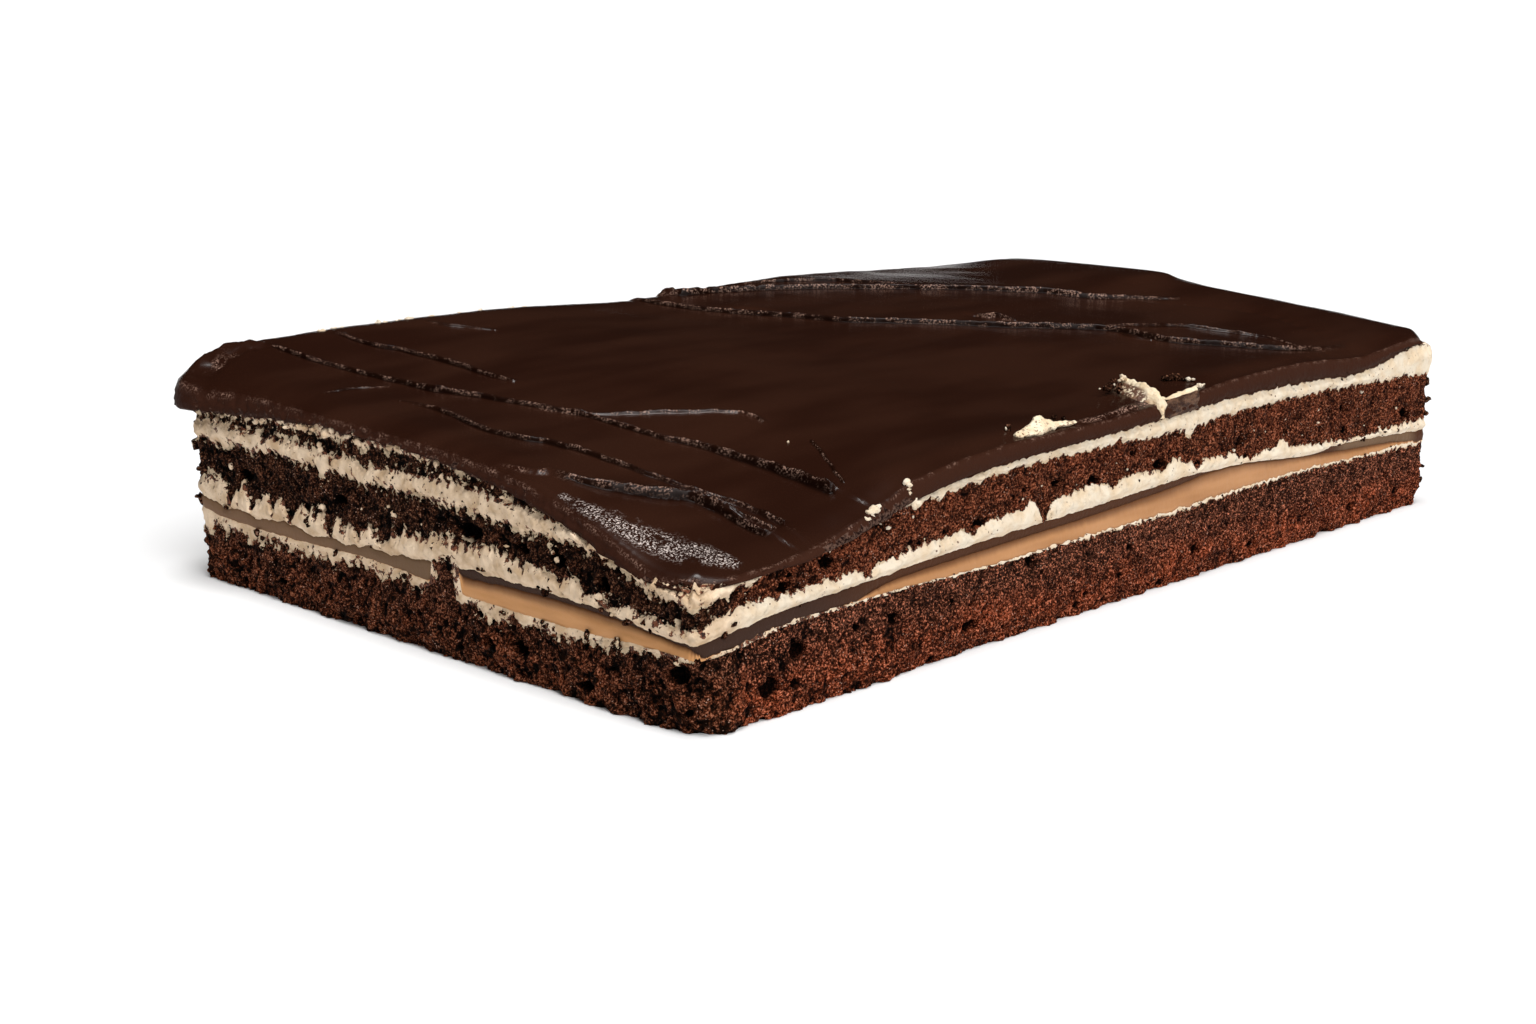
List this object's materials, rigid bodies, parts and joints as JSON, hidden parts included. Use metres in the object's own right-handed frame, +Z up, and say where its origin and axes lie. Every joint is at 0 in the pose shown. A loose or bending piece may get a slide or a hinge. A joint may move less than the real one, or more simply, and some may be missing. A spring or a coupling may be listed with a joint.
{
  "type": "layered chocolate mousse cake",
  "caption": "Rectangular slab of layered mousse cake with cut sides that show sponge, cream and caramel under a spread ganache top.",
  "frame": {"origin": "under the middle of the slab's box, on the table", "axes": "+X along the slab's length, +Y across it away from the long cut side that shows, +Z up"},
  "size_m": [0.2573, 0.1624, 0.0507],
  "materials": {
    "sponge": "porous, crumbly chocolate sponge",
    "cream": "soft whipped cream with crumbs",
    "caramel": "smooth satin caramel",
    "mousse": "fine set chocolate mousse",
    "ganache": "satin spread ganache with knife marks"
  },
  "bodies": {
    "root": {"base_sponge": "sponge", "lower_cream": "cream", "caramel": "caramel", "chocolate_mousse": "mousse", "middle_cream": "cream", "upper_sponge": "sponge", "top_cream": "cream", "top_sponge": "sponge", "cream_fringe": "cream", "ganache": "ganache", "cream_curl": "cream", "cream_lip": "cream", "cream_smear": "cream"}
  },
  "joints": []
}
